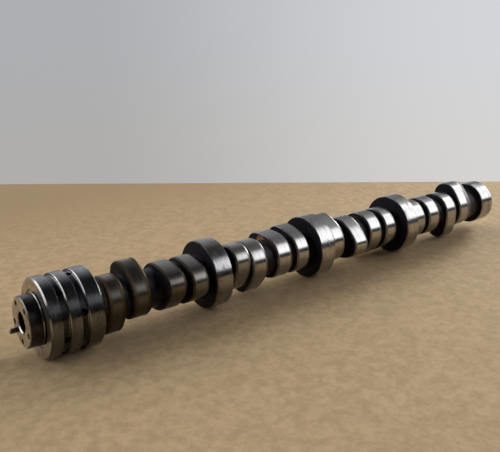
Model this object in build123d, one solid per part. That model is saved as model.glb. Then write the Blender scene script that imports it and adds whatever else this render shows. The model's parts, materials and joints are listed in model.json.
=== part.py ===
from build123d import *
import math
import os

# Camshaft of a pushrod V8 engine: one shaft with five bearing journals that step down
# towards the rear, four lobes in each of the four bays between them, two oil grooves in
# the wide front journal and a drilled nose that carries a cam phaser. A dowel pin pressed
# into the nose face times the phaser.

# Frame, in millimetres and degrees.
# X runs along the shaft towards the rear, and X = 0 is the front journal's front face,
# which takes the thrust. Z is up.
# Angles turn clockwise as seen from the nose: 0 is up, 90 is -Y, 180 is down.

# Nose
NOSE_DIA = 39.0
NOSE_LENGTH = 10.8
NOSE_CHAMFER = 0.8
RELIEF_DIA = 45.0
RELIEF_FLOOR_DIA = 43.8
RELIEF_DEPTH = 1.2

# Journals, from front to rear
FRONT_JOURNAL_WIDTH = 41.4
MAIN_JOURNAL_WIDTH = 16.3
REAR_JOURNAL_WIDTH = 18.1
FRONT_JOURNAL_DIA = 62.0
SECOND_JOURNAL_DIA = 57.8
THIRD_JOURNAL_DIA = 57.4
FOURTH_JOURNAL_DIA = 57.0
REAR_JOURNAL_DIA = 43.6
FRONT_JOURNAL_CHAMFER = 1.1
JOURNAL_CHAMFER = 0.7

# Layout along the shaft
SECOND_JOURNAL_X = 140.0
BAY_PITCH = 113.3
REAR_SHANK = 13.6
CORE_DIA = 32.0
ROOT_FILLET = 2.0

# Oil grooves of the front journal, by the middle of each
FRONT_GROOVE_X = 12.2
REAR_GROOVE_X = 26.6
GROOVE_WIDTH = 5.0
GROOVE_DEPTH = 2.2
GROOVE_FLOOR_RADIUS = 0.6

# Oil ways: galleries along the shaft, and cross holes out to the grooves
OIL_HOLES = 5
GALLERY_DIA = 4.4
CROSS_HOLE_DIA = 5.0
OIL_CIRCLE_DIA = 30.0
FIRST_OIL_HOLE_ANGLE = 37.0

# Central bore of the nose, with the tapping hole for the phaser bolt behind it
BORE_DIA = 16.0
BORE_DEPTH = 46.0
BORE_CHAMFER = 0.8
TAPPING_DIA = 10.5
TAPPING_LENGTH = 30.0
DRILL_POINT_ANGLE = 118.0

# Dowel pin
DOWEL_DIA = 4.0
DOWEL_CIRCLE_DIA = 22.8
DOWEL_ANGLE = 223.0
DOWEL_STANDS_OUT = 6.6
DOWEL_SEAT = 8.0
DOWEL_CHAMFER = 0.4

# Centre hole of the rear face
CENTRE_DIA = 10.0
CENTRE_PILOT_DIA = 4.0
CENTRE_PILOT_LENGTH = 5.0
CENTRE_CONE_ANGLE = 60.0

# Lobes
BASE_DIA = 39.4
LOBE_EDGE_DROP = 0.8
LOBE_EDGE_LAND = 1.5
INTAKE_WIDTH = 16.3
INTAKE_LIFT = 8.2
INTAKE_NOSE_RADIUS = 12.2
INTAKE_HALF_ANGLE = 75.0
EXHAUST_WIDTH = 15.0
EXHAUST_LIFT = 7.9
EXHAUST_NOSE_RADIUS = 14.6
EXHAUST_HALF_ANGLE = 75.0

# The first lobe's rough blank runs on to the front journal, and the last one's towards
# the rear, both below the ground land by the drop of its edge
LAST_BLANK_RUNS_ON = 3.7

# Where the lobes of a bay stand: the last one's middle, in front of the next journal's
# place, the step from a bank's exhaust lobe to its intake lobe, and the bank offset
LAST_LOBE_AHEAD = 13.8
LOBE_STEP = 48.6
BANK_OFFSET = 21.3

# Valve timing: one lobe a cylinder and valve, each firing step turns the shaft 45 degrees.
# The odd cylinders are in one bank and the even ones in the other.
FIRING_ORDER = (1, 8, 4, 3, 6, 5, 7, 2)
FIRING_STEP = 360.0 / len(FIRING_ORDER)
LOBE_SEPARATION = 113.0
BANK_ANGLE = 75.4
SHAFT_TURN = 51.6

# Sizes that follow from those above
NOSE_RADIUS = NOSE_DIA / 2
NOSE_FACE_X = -NOSE_LENGTH
FRONT_RADIUS = FRONT_JOURNAL_DIA / 2
GROOVE_FLOOR = FRONT_RADIUS - GROOVE_DEPTH
MAIN_DIAS = (SECOND_JOURNAL_DIA, THIRD_JOURNAL_DIA, FOURTH_JOURNAL_DIA)
BAYS = len(MAIN_DIAS) + 1
REAR_JOURNAL_X = SECOND_JOURNAL_X + len(MAIN_DIAS) * BAY_PITCH + REAR_SHANK
REAR_FACE_X = REAR_JOURNAL_X + REAR_JOURNAL_WIDTH
OIL_HOLE_PITCH = 360.0 / OIL_HOLES

# Two measured sizes closer than this are the same
CLOSE = 1e-6


def ray(angle, radius):
    """Y and Z of a point on a circle round the shaft."""
    turn = math.radians(angle)
    return -radius * math.sin(turn), radius * math.cos(turn)


def turned(points):
    """A solid of revolution about X through these (x, radius) points."""
    outline = Polyline(*points, close=True)
    return revolve(make_face(outline), Axis.X)


def journal(x, width, diameter, edge=JOURNAL_CHAMFER):
    """A bearing journal with both edges chamfered."""
    radius = diameter / 2
    return turned([
        (x, 0),
        (x, radius - edge),
        (x + edge, radius),
        (x + width - edge, radius),
        (x + width, radius - edge),
        (x + width, 0),
    ])


def nose():
    """The phaser seat in front of the first journal."""
    return turned([
        (NOSE_FACE_X, 0),
        (NOSE_FACE_X, NOSE_RADIUS - NOSE_CHAMFER),
        (NOSE_FACE_X + NOSE_CHAMFER, NOSE_RADIUS),
        (RELIEF_DEPTH, NOSE_RADIUS),
        (RELIEF_DEPTH, 0),
    ])


def relief():
    """The ring cut into the front face round the nose, so that the phaser seats square."""
    return turned([
        (0, NOSE_RADIUS),
        (0, RELIEF_DIA / 2),
        (RELIEF_DEPTH, RELIEF_FLOOR_DIA / 2),
        (RELIEF_DEPTH, NOSE_RADIUS),
    ])


def oil_groove(middle):
    """A ring groove with a rounded floor and chamfered mouth."""
    half = GROOVE_WIDTH / 2
    edge = JOURNAL_CHAMFER
    over = FRONT_RADIUS + edge
    section = make_face(Polyline(
        (middle - half, GROOVE_FLOOR),
        (middle - half, FRONT_RADIUS - edge),
        (middle - half - 2 * edge, over),
        (middle + half + 2 * edge, over),
        (middle + half, FRONT_RADIUS - edge),
        (middle + half, GROOVE_FLOOR),
        close=True,
    ))
    floor = [v for v in section.vertices() if abs(v.Y - GROOVE_FLOOR) < CLOSE]
    return revolve(fillet(floor, GROOVE_FLOOR_RADIUS), Axis.X)


def lobe_outline(lift, nose_radius, half_angle, inset=0.0):
    """A cam outline with its nose along X: base circle, nose arc and two flank arcs.

    Each flank is one arc that is tangent to the base circle at half_angle and to the nose.
    The whole outline lies inset inside the ground one.
    """
    base = BASE_DIA / 2 - inset
    nose_radius -= inset
    reach = base + lift - nose_radius
    start = math.radians(half_angle)
    flank = (reach**2 + base**2 - nose_radius**2 - 2 * reach * base * math.cos(start)) / (
        2 * (base - nose_radius - reach * math.cos(start))
    )
    centre_x = -(flank - base) * math.cos(start)
    centre_y = -(flank - base) * math.sin(start)
    end = math.atan2(-centre_y, reach - centre_x)
    middle = (start + end) / 2

    root = (base * math.cos(start), base * math.sin(start))
    tip = (reach + nose_radius * math.cos(end), nose_radius * math.sin(end))
    side = (centre_x + flank * math.cos(middle), centre_y + flank * math.sin(middle))

    def below(point):
        return (point[0], -point[1])

    outline = Curve() + [
        ThreePointArc(root, (-base, 0), below(root)),
        ThreePointArc(below(root), below(side), below(tip)),
        ThreePointArc(below(tip), (base + lift, 0), tip),
        ThreePointArc(tip, side, root),
    ]
    return make_face(outline)


def lobe(middle, angle, width, profile, ahead=0.0, behind=0.0):
    """One lobe across the shaft at X = middle, with its nose turned to this angle.

    Its rough blank runs on this far ahead of the ground land and behind it.
    """
    blank = extrude(lobe_outline(*profile), width)
    for side in (-1, 0):
        face = blank.faces().sort_by(Axis.Z)[side]
        blank = chamfer(face.edges(), LOBE_EDGE_DROP, LOBE_EDGE_LAND, reference=face)
    for start, length in ((-ahead, ahead), (width, behind)):
        if length > 0:
            rough = extrude(lobe_outline(*profile, inset=LOBE_EDGE_DROP), length)
            blank += Pos(0, 0, start) * rough
    y, z = ray(angle, 1)
    seat = Plane(origin=(middle - width / 2, 0, 0), x_dir=(0, y, z), z_dir=(1, 0, 0))
    return seat * blank


def intake(middle, angle):
    profile = (INTAKE_LIFT, INTAKE_NOSE_RADIUS, INTAKE_HALF_ANGLE)
    return lobe(middle, angle, INTAKE_WIDTH, profile)


def exhaust(middle, angle, ahead=0.0, behind=0.0):
    profile = (EXHAUST_LIFT, EXHAUST_NOSE_RADIUS, EXHAUST_HALF_ANGLE)
    return lobe(middle, angle, EXHAUST_WIDTH, profile, ahead, behind)


def nose_angle(cylinder, valve):
    """Where a lobe's nose points: later firing turns it back, and exhaust opens first."""
    bank = BANK_ANGLE if cylinder % 2 else -BANK_ANGLE
    valve_shift = LOBE_SEPARATION / 2 if valve == "exhaust" else -LOBE_SEPARATION / 2
    return SHAFT_TURN + bank + valve_shift - FIRING_STEP * FIRING_ORDER.index(cylinder)


def bay_lobes(bay):
    """The four lobes of a bay: exhaust and intake of the odd bank, and of the even bank."""
    last = SECOND_JOURNAL_X + bay * BAY_PITCH - LAST_LOBE_AHEAD
    first = last - BANK_OFFSET - LOBE_STEP
    odd, even = 2 * bay + 1, 2 * bay + 2
    ahead = first - EXHAUST_WIDTH / 2 - FRONT_JOURNAL_WIDTH if bay == 0 else 0
    behind = LAST_BLANK_RUNS_ON if bay == BAYS - 1 else 0
    return [
        exhaust(first, nose_angle(odd, "exhaust"), ahead=ahead),
        intake(last - LOBE_STEP, nose_angle(even, "intake")),
        intake(last - BANK_OFFSET, nose_angle(odd, "intake")),
        exhaust(last, nose_angle(even, "exhaust"), behind=behind),
    ]


def drilling(start, end, angle, diameter):
    """A round hole between two (x, radius) points of the half plane at this angle."""
    first = Vector(start[0], *ray(angle, start[1]))
    last = Vector(end[0], *ray(angle, end[1]))
    along = last - first
    return Plane(origin=first, z_dir=along) * Cylinder(
        diameter / 2, along.length, align=(Align.CENTER, Align.CENTER, Align.MIN)
    )


def oil_ways():
    """Galleries from the nose face to the front groove, and holes from the rear groove to
    the bore, half a step further round.

    The front cross holes end inside the galleries, and the rear ones inside the bore.
    """
    circle = OIL_CIRCLE_DIA / 2
    in_gallery = circle - GALLERY_DIA / 4
    in_bore = BORE_DIA / 4
    ways = []
    for index in range(OIL_HOLES):
        angle = FIRST_OIL_HOLE_ANGLE + index * OIL_HOLE_PITCH
        between = angle + OIL_HOLE_PITCH / 2
        gallery = drilling((NOSE_FACE_X, circle), (FRONT_GROOVE_X, circle), angle, GALLERY_DIA)
        front_cross = drilling(
            (FRONT_GROOVE_X, in_gallery), (FRONT_GROOVE_X, FRONT_RADIUS), angle, CROSS_HOLE_DIA
        )
        rear_cross = drilling(
            (REAR_GROOVE_X, in_bore), (REAR_GROOVE_X, FRONT_RADIUS), between, CROSS_HOLE_DIA
        )
        ways += [gallery, front_cross, rear_cross]
    return ways


def nose_bore():
    """The chamfered bore and the tapping hole behind it, which ends in a drill point."""
    bore, tap = BORE_DIA / 2, TAPPING_DIA / 2
    bore_end = NOSE_FACE_X + BORE_DEPTH
    tap_end = bore_end + TAPPING_LENGTH
    point = tap / math.tan(math.radians(DRILL_POINT_ANGLE / 2))
    return turned([
        (NOSE_FACE_X, 0),
        (NOSE_FACE_X, bore + BORE_CHAMFER),
        (NOSE_FACE_X + BORE_CHAMFER, bore),
        (bore_end, bore),
        (bore_end, tap),
        (tap_end, tap),
        (tap_end + point, 0),
    ])


def rear_centre():
    """The centre hole that the shaft was turned and ground on."""
    mouth, pilot = CENTRE_DIA / 2, CENTRE_PILOT_DIA / 2
    cone_end = REAR_FACE_X - (mouth - pilot) / math.tan(math.radians(CENTRE_CONE_ANGLE / 2))
    return turned([
        (REAR_FACE_X, 0),
        (REAR_FACE_X, mouth),
        (cone_end, pilot),
        (cone_end - CENTRE_PILOT_LENGTH, pilot),
        (cone_end - CENTRE_PILOT_LENGTH, 0),
    ])


def on_dowel_axis(start, end):
    """A cylinder of the dowel's size, from start to end measured from the nose face."""
    radius = DOWEL_CIRCLE_DIA / 2
    return drilling(
        (NOSE_FACE_X + start, radius), (NOSE_FACE_X + end, radius), DOWEL_ANGLE, DOWEL_DIA
    )


def dowel_pin():
    """A straight pin with chamfered ends, seated to the floor of its hole."""
    pin = on_dowel_axis(-DOWEL_STANDS_OUT, DOWEL_SEAT)
    rims = pin.edges().filter_by(GeomType.CIRCLE)
    return chamfer(rims, DOWEL_CHAMFER)


def camshaft():
    """The whole shaft, which is cast and ground in one piece."""
    core = turned([(0, 0), (0, CORE_DIA / 2), (REAR_JOURNAL_X, CORE_DIA / 2), (REAR_JOURNAL_X, 0)])
    shaft = core + journal(0, FRONT_JOURNAL_WIDTH, FRONT_JOURNAL_DIA, FRONT_JOURNAL_CHAMFER)
    for index, diameter in enumerate(MAIN_DIAS):
        shaft += journal(SECOND_JOURNAL_X + index * BAY_PITCH, MAIN_JOURNAL_WIDTH, diameter)
    shaft += journal(REAR_JOURNAL_X, REAR_JOURNAL_WIDTH, REAR_JOURNAL_DIA)
    for bay in range(BAYS):
        shaft += bay_lobes(bay)

    roots = [
        edge for edge in shaft.edges().filter_by(GeomType.CIRCLE)
        if abs(edge.radius - CORE_DIA / 2) < CLOSE
    ]
    shaft = fillet(roots, ROOT_FILLET)

    shaft -= relief()
    shaft += nose()
    shaft -= [oil_groove(FRONT_GROOVE_X), oil_groove(REAR_GROOVE_X)]
    shaft -= [nose_bore(), rear_centre(), on_dowel_axis(0, DOWEL_SEAT)]
    shaft -= oil_ways()
    return shaft


PIECES = {
    "camshaft": camshaft,
    "dowel_pin": dowel_pin,
}

os.makedirs("parts", exist_ok=True)
for name, make in PIECES.items():
    export_step(make(), f"parts/{name}.step")
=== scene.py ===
import json
import math

import bmesh
import bpy
from mathutils import Matrix, Vector


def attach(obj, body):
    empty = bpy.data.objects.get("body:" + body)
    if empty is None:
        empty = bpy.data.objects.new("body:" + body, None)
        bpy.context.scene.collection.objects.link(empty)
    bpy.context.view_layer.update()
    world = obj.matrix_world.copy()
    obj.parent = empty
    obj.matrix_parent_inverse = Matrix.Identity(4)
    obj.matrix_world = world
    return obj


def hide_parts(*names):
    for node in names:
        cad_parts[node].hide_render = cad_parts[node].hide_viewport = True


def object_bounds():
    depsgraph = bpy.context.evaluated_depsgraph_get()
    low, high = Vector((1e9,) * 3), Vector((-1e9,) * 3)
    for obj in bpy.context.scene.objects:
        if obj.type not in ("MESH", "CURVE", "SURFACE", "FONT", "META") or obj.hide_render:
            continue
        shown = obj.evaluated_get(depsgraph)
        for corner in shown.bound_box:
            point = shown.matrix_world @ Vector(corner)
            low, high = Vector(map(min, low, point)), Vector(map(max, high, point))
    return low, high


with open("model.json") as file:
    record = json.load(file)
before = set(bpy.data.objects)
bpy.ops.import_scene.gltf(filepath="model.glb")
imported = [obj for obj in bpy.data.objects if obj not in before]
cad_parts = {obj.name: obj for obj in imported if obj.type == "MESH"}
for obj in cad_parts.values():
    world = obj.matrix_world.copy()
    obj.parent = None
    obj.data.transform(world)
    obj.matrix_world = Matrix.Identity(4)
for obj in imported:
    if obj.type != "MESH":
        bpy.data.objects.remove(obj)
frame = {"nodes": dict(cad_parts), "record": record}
cad_box = [list(corner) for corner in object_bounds()]

# A V8 camshaft lying on a board: ground journals and lobes, dark as-cast sides between
# them, a turned nose with its oil ports, and a dark dowel pin.
# Metres, in the frame of the CAD: X along the shaft from the front journal's front face.

MM = 0.001
MOUNTS = {mount["name"]: mount for mount in frame["record"]["mounts"]}


def mount_r(name):
    """The radius of a round mount."""
    return MOUNTS[name]["dims"]["r_mm"] * MM


# Sizes that the finishes follow, from the frame or as in the solids
NOSE_FACE_X = MOUNTS["nose_face"]["pos_m"][0]
NOSE_R = mount_r("nose_seat")
FRONT_JOURNAL_R = mount_r("journal_1")
FRONT_JOURNAL_END = 41.4 * MM
GROOVES_X = (12.2 * MM, 26.6 * MM)
GROOVE_HALF_MOUTH = 3.2 * MM
GROOVE_FLOOR_R = 28.8 * MM
GROOVE_CORNER = 0.6 * MM
LOBE_BASE_R = 19.7 * MM
LOBE_EDGE_LAND = 1.5 * MM
SECOND_JOURNAL_X = 140.0 * MM
BAY_PITCH = 113.3 * MM
LAST_LOBE_AHEAD = 13.8 * MM
LOBE_STEP = 48.6 * MM
BANK_OFFSET = 21.3 * MM
INTAKE_HALF = 8.15 * MM
EXHAUST_HALF = 7.5 * MM
BAYS = 4
REAR_JOURNAL_R = mount_r("journal_5")
REAR_FACE_X = cad_box[1][0]

# The low collar round the root of the nose, which only the scene has
COLLAR_FRONT_X = -1.1 * MM
COLLAR_CHAMFER = 0.6 * MM
COLLAR_RISE = 0.5 * MM

# How faces and edges are told apart
WELD = 0.001 * MM
ON_ROUND = 0.02 * MM
FACET_SAG = 0.1 * MM
CLOSE = 1.0 * MM
JOURNAL_CHAMFER = 0.8 * MM
FRONT_FACES_BEFORE_X = 2.0 * MM
STRAIGHT = math.radians(0.3)
CREASE = math.radians(20)
END_ON = 0.9
SLANTED = 0.35
FACES_OUT = 0.2


# Where things are along the shaft

def lobe_spans():
    """(middle, half width) of the sixteen lobes, from the front."""
    spans = []
    for bay in range(BAYS):
        last = SECOND_JOURNAL_X + bay * BAY_PITCH - LAST_LOBE_AHEAD
        spans += [
            (last - BANK_OFFSET - LOBE_STEP, EXHAUST_HALF),
            (last - LOBE_STEP, INTAKE_HALF),
            (last - BANK_OFFSET, INTAKE_HALF),
            (last, EXHAUST_HALF),
        ]
    return spans


def ground_land(number):
    """(middle, half width) of a journal's ground land, from its mount."""
    mount = MOUNTS[f"journal_{number}"]
    return mount["pos_m"][0], mount["dims"]["length_mm"] * MM / 2


LOBES = lobe_spans()
JOURNALS = [ground_land(number) for number in range(1, BAYS + 2)]
STAINED_LOBE_FRONT = LOBES[6][0] - INTAKE_HALF


def within(x, spans, margin):
    """Whether x lies in one of the spans, or within this margin of it."""
    return any(abs(x - middle) <= half + margin for middle, half in spans)


def across_lobe(x):
    """How far across its lobe a place lies, from -1 to 1, or 0 off the lobes."""
    for middle, half in LOBES:
        if abs(x - middle) <= half + WELD:
            return (x - middle) / half
    return 0.0


# Shader building

class Shading:
    """Short ways to add nodes to a tree."""

    def __init__(self, tree):
        self.tree = tree

    def node(self, kind, **settings):
        made = self.tree.nodes.new(kind)
        for key, value in settings.items():
            setattr(made, key, value)
        return made

    def feed(self, socket, value):
        """Links an output to a socket, or sets the socket to a constant."""
        if isinstance(value, bpy.types.NodeSocket):
            self.tree.links.new(value, socket)
        else:
            socket.default_value = value

    def feed_colour(self, socket, colour):
        """Links a colour output to a socket, or sets the socket to one colour."""
        self.feed(socket, colour if isinstance(colour, bpy.types.NodeSocket) else (*colour, 1))

    def calc(self, operation, *values):
        """A sum of one or two values, or a chain of the same sum over more of them."""
        first = values[0]
        for other in values[1:] or (0.0,):
            made = self.node("ShaderNodeMath", operation=operation)
            self.feed(made.inputs[0], first)
            self.feed(made.inputs[1], other)
            first = made.outputs[0]
        return first

    def times(self, *values):
        return self.calc("MULTIPLY", *values)

    def plus(self, *values):
        return self.calc("ADD", *values)

    def split(self, vector):
        """The X, Y and Z of a vector."""
        made = self.node("ShaderNodeSeparateXYZ")
        self.feed(made.inputs[0], vector)
        return made.outputs

    def between(self, value, low, high, to_low=0.0, to_high=1.0):
        """value from low..high taken smoothly to to_low..to_high."""
        made = self.node("ShaderNodeMapRange", interpolation_type="SMOOTHSTEP")
        self.feed(made.inputs["Value"], value)
        limits = {"From Min": low, "From Max": high, "To Min": to_low, "To Max": to_high}
        for name, number in limits.items():
            made.inputs[name].default_value = number
        return made.outputs["Result"]

    def mixed(self, share, one, other):
        """A colour part way from one to other."""
        made = self.node("ShaderNodeMix", data_type="RGBA")
        self.feed(made.inputs[0], share)
        self.feed_colour(made.inputs[6], one)
        self.feed_colour(made.inputs[7], other)
        return made.outputs[2]


class Finish(Shading):
    """One material, with its colour, gloss and fine texture."""

    def __init__(self, name, colour, roughness=0.5, metallic=1.0, specular=0.5):
        self.material = bpy.data.materials.new(name)
        self.material.use_nodes = True
        super().__init__(self.material.node_tree)
        self.shader = self.tree.nodes["Principled BSDF"]
        self.shader.inputs["Base Color"].default_value = (*colour, 1)
        self.shader.inputs["Roughness"].default_value = roughness
        self.shader.inputs["Metallic"].default_value = metallic
        self.shader.inputs["Specular IOR Level"].default_value = specular
        self.place = self.node("ShaderNodeTexCoord").outputs["Object"]
        self.x, _, self.z = self.split(self.place)

    def noise(self, along, around, detail=3.0, rough=0.5):
        """Noise with this many features to the metre along the shaft and round it."""
        mapping = self.node("ShaderNodeMapping")
        self.feed(mapping.inputs["Vector"], self.place)
        mapping.inputs["Scale"].default_value = (along, around, around)
        made = self.node("ShaderNodeTexNoise")
        self.feed(made.inputs["Vector"], mapping.outputs[0])
        made.inputs["Scale"].default_value = 1.0
        made.inputs["Detail"].default_value = detail
        made.inputs["Roughness"].default_value = rough
        return made.outputs["Fac"]

    def own(self, name):
        """The piece's own number attribute."""
        return self.node("ShaderNodeAttribute", attribute_name=name).outputs["Fac"]

    def spot(self, at, radius, ragged):
        """1 inside a ragged spot round a point, fading to 0 at its edge."""
        away = self.node("ShaderNodeVectorMath", operation="DISTANCE")
        self.feed(away.inputs[0], self.place)
        away.inputs[1].default_value = at
        return self.between(self.calc("SUBTRACT", away.outputs["Value"], ragged),
                            radius, radius * SPOT_CORE)

    def paint(self, colour):
        self.feed_colour(self.shader.inputs["Base Color"], colour)

    def dull(self, roughness):
        self.feed(self.shader.inputs["Roughness"], roughness)

    def relief(self, height, depth, strength=1.0):
        """A fine texture of this depth in metres."""
        bump = self.node("ShaderNodeBump")
        bump.inputs["Strength"].default_value = strength
        bump.inputs["Distance"].default_value = depth
        self.feed(bump.inputs["Height"], height)
        self.feed(self.shader.inputs["Normal"], bump.outputs[0])


# Finishes of the shaft. The ground steel is darkest and brownest at the front, where oil
# has varnished it, and brightens towards the rear.

FRONT_TONE_X = 80 * MM
REAR_TONE_X = 235 * MM

FRONT_JOURNAL_STEEL = (0.15, 0.15, 0.158)
FRONT_LOBE_STEEL = (0.115, 0.105, 0.09)
REAR_STEEL = (0.46, 0.45, 0.435)
VARNISH = (0.08, 0.052, 0.028)
FRONT_EDGE_LIGHT = (0.06, 0.046, 0.03)
FRONT_EDGE_DARK = (0.035, 0.025, 0.018)
REAR_EDGE_LIGHT = (0.3, 0.29, 0.275)
REAR_EDGE_DARK = (0.15, 0.14, 0.13)
CAST = (0.011, 0.011, 0.018)
SOOT = (0.02, 0.018, 0.025)
RUST = (0.3, 0.14, 0.09)
FAINT_RUST = (0.05, 0.028, 0.022)
CORE = (0.008, 0.009, 0.013)
CORE_BROWN = (0.05, 0.038, 0.032)
REAR_SHANK = (0.075, 0.066, 0.078)
TURNED_STEEL = (0.5, 0.475, 0.445)
TURNED_STAIN = (0.27, 0.235, 0.195)
RIM_STEEL = (0.32, 0.312, 0.3)
RIM_PAINTED_SHADE = (0.11, 0.09, 0.065)
RIM_NICK = (0.1, 0.085, 0.07)
BORE_PAINTED_SHADE = (0.05, 0.045, 0.045)
GROOVE_STEEL = (0.045, 0.045, 0.05)
GROOVE_GRIME = (0.022, 0.017, 0.014)
NOSE_STEEL = (0.05, 0.05, 0.053)
NOSE_GRIME = (0.03, 0.021, 0.015)
NOSE_EDGE_HIGHLIGHT = (0.15, 0.145, 0.135)
PIN_STEEL = (0.15, 0.13, 0.105)
PIN_SMEAR = (0.07, 0.06, 0.05)
PIN_TIP_HIGHLIGHT = (0.34, 0.3, 0.24)

GRIND_DEPTH = 0.0012 * MM
CAST_GRAIN_DEPTH = 0.05 * MM
CORE_GRAIN_DEPTH = 0.04 * MM
SPOT_CORE = 0.7

# Where the finishes change
BROWN_EDGE_WIDENS_X = (100 * MM, 85 * MM)
RUST_AT = (STAINED_LOBE_FRONT, 6 * MM, 12.6 * MM)
RUST_R = 4.2 * MM
FAINT_RUST_AT = (STAINED_LOBE_FRONT, -2 * MM, 11 * MM)
FAINT_RUST_R = 10 * MM
RUST_RAGGED = 6 * MM
REAR_SHANK_X = (LOBES[-1][0], LOBES[-1][0] + 10 * MM)
RIM_PAINTED_SHADE_Z = (-8 * MM, 6 * MM)
NOSE_EDGE_HIGHLIGHT_X = (NOSE_FACE_X + 0.9 * MM, NOSE_FACE_X + 0.6 * MM)


def from_front(finish, front, rear):
    """A number that runs from the front to the rear along the shaft."""
    return finish.between(finish.x, FRONT_TONE_X, REAR_TONE_X, front, rear)


def steel(finish, front, rear):
    """A colour that runs from the front tone to the rear one along the shaft."""
    return finish.mixed(from_front(finish, 0.0, 1.0), front, rear)


def grinding_marks(finish):
    finish.relief(finish.noise(2600, 12, detail=2.0), GRIND_DEPTH)


def ground_journal():
    """Ground steel with scuffs and fine rings, both darkened by varnish."""
    finish = Finish("ground journal", REAR_STEEL)
    rings = finish.noise(700, 6, detail=4.0)
    blotches = finish.noise(140, 80, detail=6.0, rough=0.7)
    wear = finish.between(blotches, 0.48, 0.64, 0.0, 0.5)
    streaks = finish.between(rings, 0.52, 0.7, 0.0, 0.4)
    clean = steel(finish, FRONT_JOURNAL_STEEL, REAR_STEEL)
    finish.paint(finish.mixed(finish.calc("MAXIMUM", wear, streaks), clean, VARNISH))
    ground = finish.between(rings, 0.3, 0.7, 0.14, 0.2)
    finish.dull(finish.plus(ground, finish.times(wear, 0.2)))
    grinding_marks(finish)
    return finish.material


def ground_lobe():
    """Ground steel that is brown along both edges, most at the front of the shaft."""
    finish = Finish("ground lobe", REAR_STEEL)
    across = finish.calc("ABSOLUTE", finish.own("across"))
    ragged = finish.times(finish.noise(160, 90, detail=4.0), 0.2)
    wider = finish.between(finish.x, *BROWN_EDGE_WIDENS_X, 0.0, 0.2)
    edge = finish.between(finish.plus(across, ragged, wider), 0.72, 0.9)
    bands = finish.between(finish.noise(420, 5, detail=2.0), 0.52, 0.7, 0.0, 0.25)
    brown = finish.times(edge, from_front(finish, 0.85, 0.45))
    clean = steel(finish, FRONT_LOBE_STEEL, REAR_STEEL)
    finish.paint(finish.mixed(finish.calc("MAXIMUM", brown, bands), clean, VARNISH))
    finish.dull(finish.plus(from_front(finish, 0.28, 0.17), finish.times(edge, 0.2)))
    grinding_marks(finish)
    return finish.material


def lobe_edge():
    """The rough drawn-in edges of the lobes and the front chamfers of the journals."""
    finish = Finish("lobe edge", REAR_EDGE_LIGHT)
    blotches = finish.noise(150, 150, detail=5.0)
    light = steel(finish, FRONT_EDGE_LIGHT, REAR_EDGE_LIGHT)
    dark = steel(finish, FRONT_EDGE_DARK, REAR_EDGE_DARK)
    finish.paint(finish.mixed(finish.between(blotches, 0.35, 0.65), light, dark))
    finish.dull(from_front(finish, 0.6, 0.42))
    return finish.material


def as_cast():
    """Near-black cast sides, with the rust stain on the front of the seventh lobe."""
    finish = Finish("dark cast side", CAST, metallic=0.0, specular=0.1)
    blotches = finish.noise(80, 80, detail=5.0, rough=0.65)
    sooty = finish.mixed(finish.between(blotches, 0.45, 0.75), CAST, SOOT)
    ragged = finish.times(finish.noise(300, 300, detail=4.0), RUST_RAGGED)
    rust = finish.spot(RUST_AT, RUST_R, ragged)
    faint = finish.spot(FAINT_RUST_AT, FAINT_RUST_R, ragged)
    stained = finish.mixed(faint, sooty, FAINT_RUST)
    finish.paint(finish.mixed(rust, stained, RUST))
    finish.dull(finish.between(blotches, 0.3, 0.7, 0.5, 0.65))
    finish.relief(finish.noise(900, 900, detail=4.0), CAST_GRAIN_DEPTH, 0.5)
    return finish.material


def cast_core():
    """The core between the lobes, lighter and violet-grey behind the last one."""
    finish = Finish("dark core", CORE, 0.45, metallic=0.0, specular=0.25)
    blotches = finish.noise(90, 90, detail=5.0)
    behind = finish.between(finish.x, *REAR_SHANK_X)
    brown = finish.between(blotches, 0.5, 0.75, 0.0, 0.4)
    finish.paint(finish.mixed(brown, finish.mixed(behind, CORE, REAR_SHANK), CORE_BROWN))
    finish.relief(finish.noise(800, 800, detail=3.0), CORE_GRAIN_DEPTH, 0.4)
    return finish.material


def turned_face():
    """The turned end faces, stained in blotches."""
    finish = Finish("turned face", TURNED_STEEL)
    blotches = finish.noise(130, 130, detail=6.0, rough=0.65)
    stains = finish.between(blotches, 0.42, 0.72)
    finish.paint(finish.mixed(stains, TURNED_STEEL, TURNED_STAIN))
    finish.dull(finish.between(blotches, 0.3, 0.7, 0.24, 0.4))
    return finish.material


def bright_rim():
    """Narrow rubbed chamfers, bright above, and painted darker and browner below as shade."""
    finish = Finish("bright rim", RIM_STEEL, 0.2)
    nicks = finish.between(finish.noise(400, 260, detail=4.0), 0.55, 0.8)
    # Painted shade: the chamfers are painted darker and browner towards the bottom, where they
    # are in shade
    unshaded_share = finish.between(finish.z, *RIM_PAINTED_SHADE_Z)
    finish.paint(finish.mixed(nicks, finish.mixed(unshaded_share, RIM_PAINTED_SHADE, RIM_STEEL), RIM_NICK))
    return finish.material


# Painted shade: the walls of the bores and oil holes are painted near black, as the shade
# inside them
def painted_shade_bore():
    return Finish("bore with painted shade", BORE_PAINTED_SHADE, 0.4).material


def groove_floor():
    """The floors and sides of the oil grooves, with grime in patches."""
    finish = Finish("oil groove", GROOVE_STEEL, 0.24)
    grime = finish.between(finish.noise(160, 120, detail=5.0), 0.4, 0.65)
    finish.paint(finish.mixed(grime, GROOVE_STEEL, GROOVE_GRIME))
    return finish.material


def nose_side():
    """The dark side of the nose, with a painted highlight along its front edge."""
    finish = Finish("nose side", NOSE_STEEL, 0.34)
    grime = finish.between(finish.noise(180, 140, detail=6.0, rough=0.7), 0.42, 0.66)
    # Painted highlight: a lighter band round the nose's front edge stands in for the thin line
    # of light that edge catches
    edge_highlight_share = finish.between(finish.x, *NOSE_EDGE_HIGHLIGHT_X)
    dark = finish.mixed(grime, NOSE_STEEL, NOSE_GRIME)
    finish.paint(finish.mixed(edge_highlight_share, dark, NOSE_EDGE_HIGHLIGHT))
    return finish.material


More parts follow.
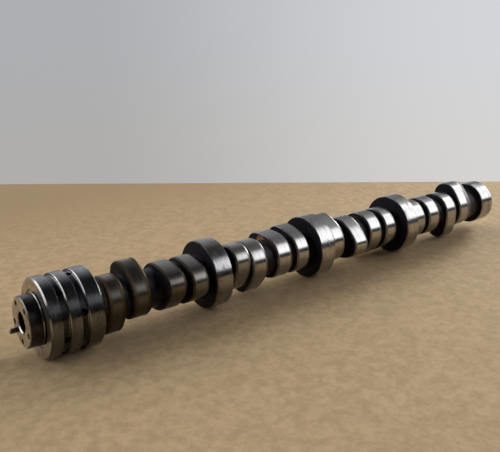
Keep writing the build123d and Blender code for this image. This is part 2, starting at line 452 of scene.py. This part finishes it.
def dark_pin():
    """The hardened dowel, with oil smeared on it."""
    finish = Finish("dowel steel", PIN_STEEL, 0.34)
    smears = finish.between(finish.noise(500, 500, detail=3.0), 0.4, 0.65)
    finish.paint(finish.mixed(smears, PIN_STEEL, PIN_SMEAR))
    return finish.material


# Painted highlight: the dowel's tip face is painted lighter, standing in for the light it
# catches
def tip_highlight():
    return Finish("dowel tip with painted highlight", PIN_TIP_HIGHLIGHT, 0.3).material


# The shaft

FINISHES = {
    "journal": ground_journal,
    "lobe": ground_lobe,
    "lobe edge": lobe_edge,
    "cast": as_cast,
    "core": cast_core,
    "turned": turned_face,
    "rim": bright_rim,
    "bore": painted_shade_bore,
    "groove": groove_floor,
    "nose": nose_side,
}


def groove_finish(radius, along):
    """The finish of a face in the mouth or on the floor of an oil groove."""
    floor_corner = radius < GROOVE_FLOOR_R + GROOVE_CORNER
    mouth = radius > FRONT_JOURNAL_R - CLOSE
    return "rim" if SLANTED < along < END_ON and (floor_corner or mouth) else "groove"


def front_finish(x, radius, outward, along):
    """The finish of a face of the nose or of the front journal."""
    if outward < FACES_OUT and along < SLANTED:
        return "bore"
    in_groove = any(abs(x - groove) < GROOVE_HALF_MOUTH for groove in GROOVES_X)
    if in_groove and GROOVE_FLOOR_R - CLOSE < radius < FRONT_JOURNAL_R - WELD:
        return groove_finish(radius, along)
    if along > END_ON:
        return "turned" if x < FRONT_FACES_BEFORE_X else "cast"
    if along > SLANTED:
        if radius > NOSE_R:
            return "rim"
        return "nose" if radius > NOSE_R - CLOSE else "turned"
    if radius > FRONT_JOURNAL_R - FACET_SAG:
        return "journal"
    return "nose" if radius > NOSE_R - FACET_SAG else "turned"


def finish_of(face):
    """Which finish a face of the shaft has, by where it is and which way it points."""
    middle = face.calc_center_median()
    x, radius = middle.x, math.hypot(middle.y, middle.z)
    outward = (face.normal.y * middle.y + face.normal.z * middle.z) / max(radius, WELD)
    along = abs(face.normal.x)
    if x < FRONT_JOURNAL_END + WELD:
        return front_finish(x, radius, outward, along)
    if along > END_ON:
        return "turned" if x > REAR_FACE_X - CLOSE else "cast"
    if outward < 0:
        return "bore"
    if radius > REAR_JOURNAL_R - FACET_SAG and within(x, JOURNALS, JOURNAL_CHAMFER):
        if along > SLANTED:
            return "lobe edge" if face.normal.x < 0 else "rim"
        return "journal"
    if radius > LOBE_BASE_R - CLOSE:
        return "lobe" if within(x, LOBES, -LOBE_EDGE_LAND + WELD) else "lobe edge"
    return "core" if along < SLANTED else "cast"


def closed_form(node):
    """A closed copy of a CAD node's mesh, with its flat and straight faces whole again."""
    form = bmesh.new()
    form.from_mesh(node.data)
    bmesh.ops.remove_doubles(form, verts=form.verts, dist=WELD)
    bmesh.ops.dissolve_limit(form, angle_limit=STRAIGHT, verts=form.verts, edges=form.edges)
    return form


def on_nose_side(corner):
    """Whether a corner of the mesh lies on the round side of the nose."""
    at = corner.co
    off_round = abs(math.hypot(at.y, at.z) - NOSE_R)
    return at.x < FRONT_FACES_BEFORE_X and off_round < ON_ROUND


def raise_collar(form):
    """Raises the low collar, with its chamfered front, round the root of the nose."""
    for x in (COLLAR_FRONT_X, COLLAR_FRONT_X + COLLAR_CHAMFER):
        side = [face for face in form.faces if all(map(on_nose_side, face.verts))]
        edges = {edge for face in side for edge in face.edges}
        corners = {corner for face in side for corner in face.verts}
        bmesh.ops.bisect_plane(form, geom=[*side, *edges, *corners], plane_co=(x, 0, 0),
                               plane_no=(1, 0, 0))
    grown = 1 + COLLAR_RISE / NOSE_R
    raised = [corner for corner in form.verts if on_nose_side(corner)
              and corner.co.x > COLLAR_FRONT_X + COLLAR_CHAMFER / 2]
    bmesh.ops.scale(form, vec=(1, grown, grown), verts=raised)
    form.normal_update()


def mark_creases(form):
    """Smooth faces all over, with sharp edges where two faces meet at an angle."""
    for face in form.faces:
        face.smooth = True
    for edge in form.edges:
        edge.smooth = edge.calc_face_angle(0) < CREASE


def piece(form, name, finishes, replaced):
    """Makes a scene piece of a form and lets it stand for its CAD node."""
    mark_creases(form)
    mesh = bpy.data.meshes.new(name)
    form.to_mesh(mesh)
    form.free()
    for material in finishes:
        mesh.materials.append(material)
    made = bpy.data.objects.new(name, mesh)
    bpy.context.scene.collection.objects.link(made)
    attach(made, "root")
    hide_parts(replaced)
    return made


def shaft():
    """The shaft, with each face's finish and each point's place across its lobe."""
    form = closed_form(frame["nodes"]["camshaft"])
    raise_collar(form)
    across = form.verts.layers.float.new("across")
    for corner in form.verts:
        corner[across] = across_lobe(corner.co.x)
    names = list(FINISHES)
    for face in form.faces:
        face.material_index = names.index(finish_of(face))
    return piece(form, "ground_shaft", [make() for make in FINISHES.values()],
                 "camshaft")


def dowel():
    """The dowel pin, with a painted highlight on its tip face."""
    form = closed_form(frame["nodes"]["dowel_pin"])
    for face in form.faces:
        face.material_index = 1 if face.normal.x < -SLANTED else 0
    return piece(form, "timing_dowel", [dark_pin(), tip_highlight()], "dowel_pin")


shaft()
dowel()


# Stage: a pale board, a dim room with a pale wall beyond the shaft, and soft windows

BOARD_FAR = 957 * MM
BOARD_SPAN = 12.0
BOARD_TONE = (0.64, 0.457, 0.255)
BOARD_FIBRE = (0.51, 0.36, 0.198)
# Painted shade on the board, darker towards its far edge
BOARD_FAR_PAINTED_SHADE = (0.44, 0.31, 0.168)
BOARD_PAINTED_SHADE_Y = (120 * MM, 420 * MM)
EYE = Vector((-156.3, -476.7, 232.6)) * MM
HEADING = math.radians(-36.28)
PITCH = math.radians(15.82)
LENS_MM = 51.6
SENSOR_MM = 36.0
SHIFT_Y = -0.072
SHAFT_MIDDLE = Vector((250, 0, 0)) * MM

FAR_WALL = 0.53
LIT_WALL = 0.6
DIM_WALL = -0.3
BACKDROP_LEFT = -0.14
BACKDROP_RIGHT = 0.1
CEILING = 0.75
WINDOW = 2.1
HEAD_SLOPE = 150
GLIMMER = 0.3
DARKEST = 0.04
WARM_LIGHT = (1.0, 0.985, 0.965)
COOL_LIGHT = (0.975, 0.995, 1.045)


def resting_point(number):
    """The lowest point at the rear end of a journal's ground land."""
    middle, half = ground_land(number)
    return Vector((middle + half, 0, -mount_r(f"journal_{number}")))


def board():
    """The pale board under the shaft, tilted to touch the first and the fourth journal."""
    touch = resting_point(1)
    slope = resting_point(4) - touch
    form = bmesh.new()
    bmesh.ops.create_grid(form, x_segments=1, y_segments=1, size=BOARD_SPAN / 2)
    bmesh.ops.translate(form, vec=(0, BOARD_FAR - BOARD_SPAN / 2, 0), verts=form.verts)
    turn = Matrix.Rotation(HEADING, 4, "Z")
    bmesh.ops.transform(form, matrix=turn, verts=form.verts)
    bmesh.ops.translate(form, vec=(EYE.x - touch.x, EYE.y, 0), verts=form.verts)
    tilt = Matrix.Rotation(-math.atan2(slope.z, slope.x), 4, "Y")
    bmesh.ops.transform(form, matrix=Matrix.Translation(touch) @ tilt, verts=form.verts)
    mesh = bpy.data.meshes.new("board")
    form.to_mesh(mesh)
    form.free()
    finish = Finish("pale board", BOARD_TONE, 0.85, metallic=0.0, specular=0.15)
    fibres = finish.between(finish.noise(120, 120, detail=6.0, rough=0.7), 0.35, 0.65)
    near = finish.mixed(fibres, BOARD_TONE, BOARD_FIBRE)
    # Painted shade: the board is painted darker beyond the shaft, as the light falls off
    # towards its far edge
    beyond = finish.between(finish.split(finish.place)[1], *BOARD_PAINTED_SHADE_Y)
    finish.paint(finish.mixed(beyond, near, BOARD_FAR_PAINTED_SHADE))
    mesh.materials.append(finish.material)
    made = bpy.data.objects.new("board", mesh)
    bpy.context.scene.collection.objects.link(made)


def soft_light(name, azimuth, elevation, distance, size, watts):
    """A soft window seen from the shaft at this azimuth from +X towards +Y, in degrees."""
    data = bpy.data.lights.new(name, "AREA")
    data.shape = "RECTANGLE"
    data.size, data.size_y = size
    data.energy = watts
    made = bpy.data.objects.new(name, data)
    level = distance * math.cos(math.radians(elevation))
    way = Vector((level * math.cos(math.radians(azimuth)),
                  level * math.sin(math.radians(azimuth)),
                  distance * math.sin(math.radians(elevation))))
    made.location = SHAFT_MIDDLE + way
    made.rotation_euler = way.to_track_quat("Z", "Y").to_euler()
    made.visible_camera = False
    bpy.context.scene.collection.objects.link(made)


def room():
    """The light of the room by direction.

    turn is the angle round the shaft's axis: 0 is level beyond the shaft, 90 overhead and
    180 level on the camera's side. x runs from 0 across the shaft to 1 towards its rear.
    """
    made = bpy.data.worlds.new("room")
    bpy.context.scene.world = made
    made.use_nodes = True
    sky = Shading(made.node_tree)
    x, y, z = sky.split(sky.node("ShaderNodeTexCoord").outputs["Generated"])
    turn = sky.calc("DEGREES", sky.calc("ARCTAN2", z, y))

    # The far wall fades overhead, and is lit towards the nose and dim towards the rear
    lit = sky.times(sky.between(turn, 8, 24), sky.between(x, 0.3, 0.55, LIT_WALL, 0.0))
    dim = sky.times(sky.between(turn, 0, 10), sky.between(x, 0.45, 0.62, 0.0, DIM_WALL))
    wall = sky.times(sky.between(turn, 82, 28), sky.plus(lit, dim, FAR_WALL))
    # Behind the board it also brightens from left to right
    slope = sky.between(x, 0.38, 0.85, BACKDROP_LEFT, BACKDROP_RIGHT)
    backdrop = sky.times(sky.between(z, 0.14, -0.016), slope)
    # The ceiling is lit over the shaft's rear
    ceiling = sky.times(sky.between(x, 0.48, 0.82, 0.0, CEILING), sky.between(turn, 38, 85),
                        sky.between(turn, 112, 95))
    # The head of the window on the camera's side slopes up towards the rear
    under_head = sky.plus(turn, sky.times(x, HEAD_SLOPE))
    window = sky.times(sky.between(x, 0.41, 0.47), sky.between(x, 0.95, 0.82),
                       sky.between(under_head, 190, 208), sky.between(turn, 164, 154), WINDOW)
    glimmer = sky.times(sky.between(x, 0.22, 0.32), sky.between(turn, 126, 138),
                        sky.between(turn, 160, 148), GLIMMER)

    background = made.node_tree.nodes["Background"]
    tint = sky.mixed(sky.between(z, -0.24, -0.02), WARM_LIGHT, COOL_LIGHT)
    sky.feed_colour(background.inputs["Color"], tint)
    sky.feed(background.inputs["Strength"],
             sky.plus(wall, ceiling, window, glimmer, backdrop, DARKEST))


def camera():
    """The camera of the photo's angle."""
    data = bpy.data.cameras.new("camera")
    data.lens = LENS_MM
    data.sensor_width = SENSOR_MM
    data.shift_y = SHIFT_Y
    made = bpy.data.objects.new("camera", data)
    made.location = EYE
    made.rotation_euler = (math.pi / 2 - PITCH, 0, HEADING)
    bpy.context.scene.collection.objects.link(made)
    bpy.context.scene.camera = made


board()
room()
soft_light("right window", azimuth=15, elevation=13, distance=3.2, size=(0.85, 0.85),
           watts=104)
soft_light("left window", azimuth=155, elevation=24, distance=1.5, size=(1.5, 0.5),
           watts=4.0)
camera()
bpy.context.scene.view_settings.view_transform = "Standard"
